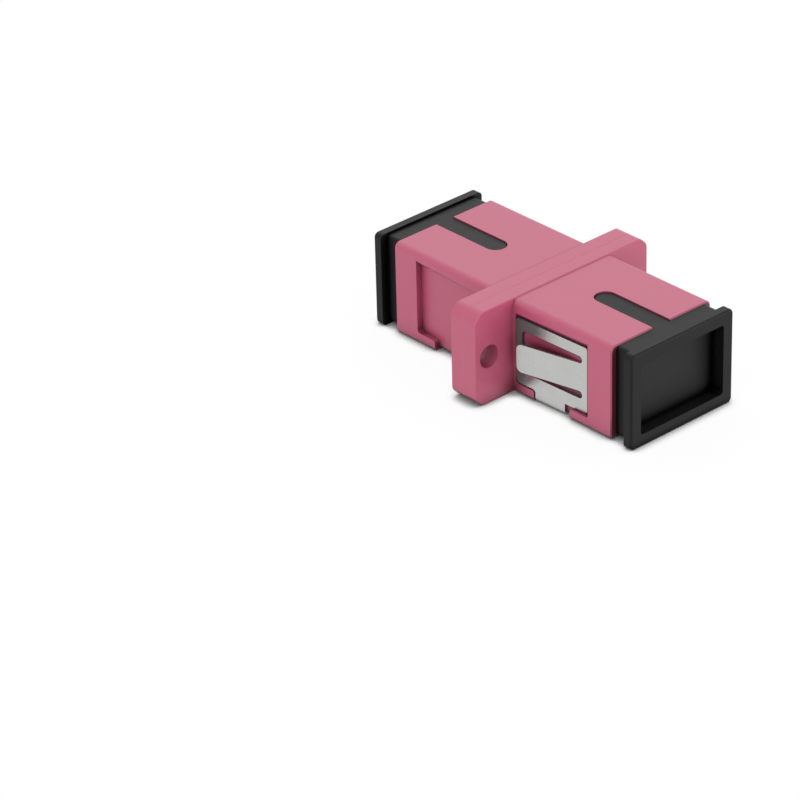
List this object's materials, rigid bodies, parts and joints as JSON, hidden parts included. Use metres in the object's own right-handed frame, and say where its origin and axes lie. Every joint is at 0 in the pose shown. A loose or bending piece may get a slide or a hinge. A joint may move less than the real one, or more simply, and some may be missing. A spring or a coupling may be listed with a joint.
{
  "type": "sc fibre adapter",
  "caption": "Flanged straight-through adapter that joins two SC fibre plugs, with a keyed port at each end, a snap-in steel panel clip and push-in dust caps.",
  "frame": {"origin": "centre of the adapter on its optical axis, in the weld plane of the flange, where the two ferrule tips meet", "axes": "+X along the optical axis, out of the port on the panel clip's half; +Y along the flange; +Z towards the side with the key slots"},
  "size_m": [0.0338, 0.022, 0.0096],
  "materials": {
    "housing_plastic": "rose pink moulded plastic, fine satin",
    "latch_plastic": "natural off-white moulded plastic",
    "zirconia": "polished white zirconia ceramic",
    "spring_steel": "satin stainless spring steel sheet",
    "cap_plastic": "black moulded plastic, soft satin"
  },
  "bodies": {
    "adapter": {"front_housing_half": "housing_plastic", "rear_housing_half": "housing_plastic", "front_inner_latch": "latch_plastic", "rear_inner_latch": "latch_plastic", "alignment_sleeve": "zirconia", "panel_clip": "spring_steel"},
    "front_cap": {"front_dust_cap": "cap_plastic"},
    "rear_cap": {"rear_dust_cap": "cap_plastic"}
  },
  "joints": [
    {"name": "front_cap_pull", "type": "slide", "parent": "adapter", "child": "front_cap", "axis": [1, 0, 0], "range_m": [0, 0.015]},
    {"name": "rear_cap_pull", "type": "slide", "parent": "adapter", "child": "rear_cap", "axis": [-1, 0, 0], "range_m": [0, 0.015]}
  ]
}
